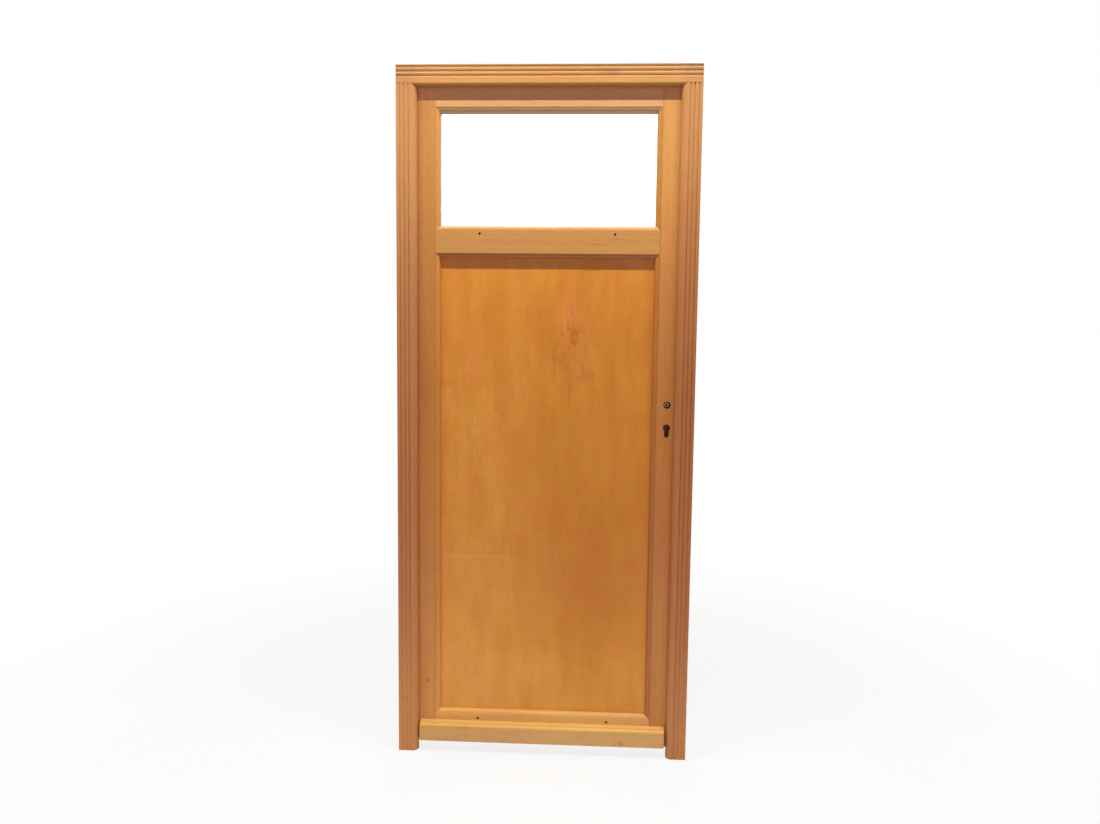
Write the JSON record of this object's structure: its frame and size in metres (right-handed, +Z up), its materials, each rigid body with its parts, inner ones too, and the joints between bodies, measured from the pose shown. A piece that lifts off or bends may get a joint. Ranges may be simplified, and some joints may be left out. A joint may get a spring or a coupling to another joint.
{
  "type": "service door",
  "caption": "Single inward-opening wooden service door hung in its reeded, rebated frame, with a glazed top light, a plain lower panel, a weatherboard and a mortise lock without furniture.",
  "frame": {"origin": "on the outer side face of the hinge post, at floor level, halfway through the frame's depth", "axes": "+Z up, +X from the hinge post towards the lock post, +Y from the outside (weatherboard side) to the inside, the way the leaf opens"},
  "size_m": [0.9, 0.087, 2.1],
  "materials": {
    "frame_timber": "varnished",
    "leaf_timber": "varnished",
    "board_timber": "varnished",
    "panel_veneer": "varnished",
    "bead_timber": "varnished",
    "pane_glass": "clear",
    "hinge_steel": "zinc plated",
    "washer_brass": "plain",
    "lock_steel": "zinc plated",
    "follower_steel": "bare"
  },
  "bodies": {
    "frame": {"hinge_post": "frame_timber", "lock_post": "frame_timber", "frame_head": "frame_timber", "strike_plate": "lock_steel", "hinge_washers": "washer_brass", "lower_hinge_frame_half": "hinge_steel", "middle_hinge_frame_half": "hinge_steel", "upper_hinge_frame_half": "hinge_steel"},
    "leaf": {"hinge_stile": "leaf_timber", "lock_stile": "leaf_timber", "top_rail": "leaf_timber", "mid_rail": "leaf_timber", "bottom_rail": "leaf_timber", "weatherboard": "board_timber", "lower_panel": "panel_veneer", "light_bead_bottom": "bead_timber", "light_bead_lock_side": "bead_timber", "light_bead_top": "bead_timber", "light_bead_hinge_side": "bead_timber", "panel_bead_bottom": "bead_timber", "panel_bead_lock_side": "bead_timber", "panel_bead_top": "bead_timber", "panel_bead_hinge_side": "bead_timber", "light_pane": "pane_glass", "lower_hinge_leaf_half": "hinge_steel", "middle_hinge_leaf_half": "hinge_steel", "upper_hinge_leaf_half": "hinge_steel", "lock_forend": "lock_steel", "lock_case": "lock_steel", "dead_bolt": "lock_steel", "latch_bolt": "lock_steel"},
    "follower": {"lock_follower": "follower_steel"}
  },
  "joints": [
    {"name": "leaf_swing", "type": "hinge", "parent": "frame", "child": "leaf", "pos_m": [0.0425, 0.044, 1.05], "axis": [0, 0, 1], "range_deg": [0, 110]},
    {"name": "follower_turn", "type": "hinge", "parent": "leaf", "child": "follower", "pos_m": [0.82, 0.014, 1.106], "axis": [0, -1, 0], "range_deg": [0, 40], "stiffness_Nm_per_rad": 1.2}
  ]
}
